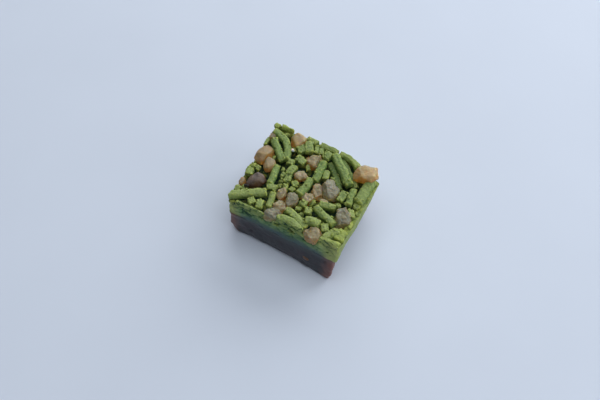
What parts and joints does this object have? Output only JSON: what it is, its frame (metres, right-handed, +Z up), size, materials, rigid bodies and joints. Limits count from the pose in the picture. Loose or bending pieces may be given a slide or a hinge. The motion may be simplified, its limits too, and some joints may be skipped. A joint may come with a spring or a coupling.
{
  "type": "matcha chestnut bean-paste slice",
  "caption": "Square-cut Japanese sweet: a dark red bean-paste base under a bed of short green tea bean-paste noodles set with candied chestnut pieces.",
  "frame": {"origin": "bottom centre of the sweet's box, on the surface it stands on", "axes": "+Z up; +X along the slice's longest cut side, seen from the front; the front cut side faces -Y"},
  "size_m": [0.048, 0.043, 0.0251],
  "materials": {
    "azuki_paste": "moist, slightly satin red bean paste",
    "matcha_paste": "dry, crumbly green tea bean paste",
    "candied_chestnut": "translucent, syrup-glazed chestnut"
  },
  "bodies": {
    "root": {"azuki_base": "azuki_paste", "matcha_noodles": "matcha_paste", "chestnut_back": "candied_chestnut", "chestnut_back_left": "candied_chestnut", "chestnut_left_large": "candied_chestnut", "chestnut_left_round": "candied_chestnut", "chestnut_dark": "candied_chestnut", "chestnut_left_edge": "candied_chestnut", "chestnut_back_middle": "candied_chestnut", "chestnut_middle": "candied_chestnut", "chestnut_centre_large": "candied_chestnut", "chestnut_centre_side": "candied_chestnut", "chestnut_centre_small": "candied_chestnut", "chestnut_centre_bit": "candied_chestnut", "chestnut_right": "candied_chestnut", "chestnut_corner": "candied_chestnut", "chestnut_front_grey": "candied_chestnut", "chestnut_front_tan": "candied_chestnut", "chestnut_front_bright": "candied_chestnut", "chestnut_front_low": "candied_chestnut", "chestnut_front_edge": "candied_chestnut", "chestnut_in_base": "candied_chestnut"}
  },
  "joints": []
}
